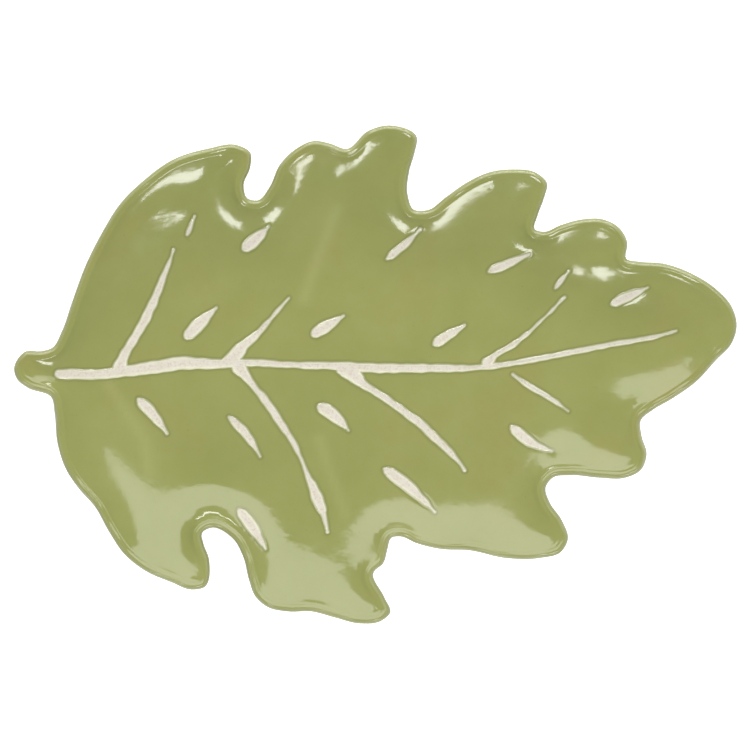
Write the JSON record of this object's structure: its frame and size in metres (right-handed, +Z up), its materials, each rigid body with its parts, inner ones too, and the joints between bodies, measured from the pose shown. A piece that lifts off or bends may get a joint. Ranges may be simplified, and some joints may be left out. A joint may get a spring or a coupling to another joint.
{
  "type": "leaf shaped plate",
  "caption": "Glazed stoneware serving plate with a lobed leaf outline, a low rising wall with a rounded lip, a foot ring, and drawn midrib, side veins and short strokes left bare in the glaze.",
  "frame": {"origin": "under the middle of the leaf's outline, on the surface the foot stands on", "axes": "+X from the stem to the tip of the leaf, +Y across the leaf to its upper side in the picture, +Z up"},
  "size_m": [0.28, 0.193, 0.0226],
  "materials": {
    "clay": "matte",
    "glaze": "gloss",
    "slip": "matte"
  },
  "bodies": {
    "root": {"clay_body": "clay", "foot_ring": "clay", "glaze_coat": "glaze", "midrib_line": "slip", "upper_vein_1": "slip", "upper_vein_2": "slip", "upper_vein_3": "slip", "lower_vein_1": "slip", "lower_vein_2": "slip", "lower_vein_3": "slip", "upper_mark_1": "slip", "upper_mark_2": "slip", "upper_mark_3": "slip", "upper_mark_4": "slip", "upper_mark_5": "slip", "upper_mark_6": "slip", "upper_mark_7": "slip", "upper_mark_8": "slip", "upper_mark_9": "slip", "lower_mark_1": "slip", "lower_mark_2": "slip", "lower_mark_3": "slip", "lower_mark_4": "slip", "lower_mark_5": "slip", "lower_mark_6": "slip"}
  },
  "joints": []
}
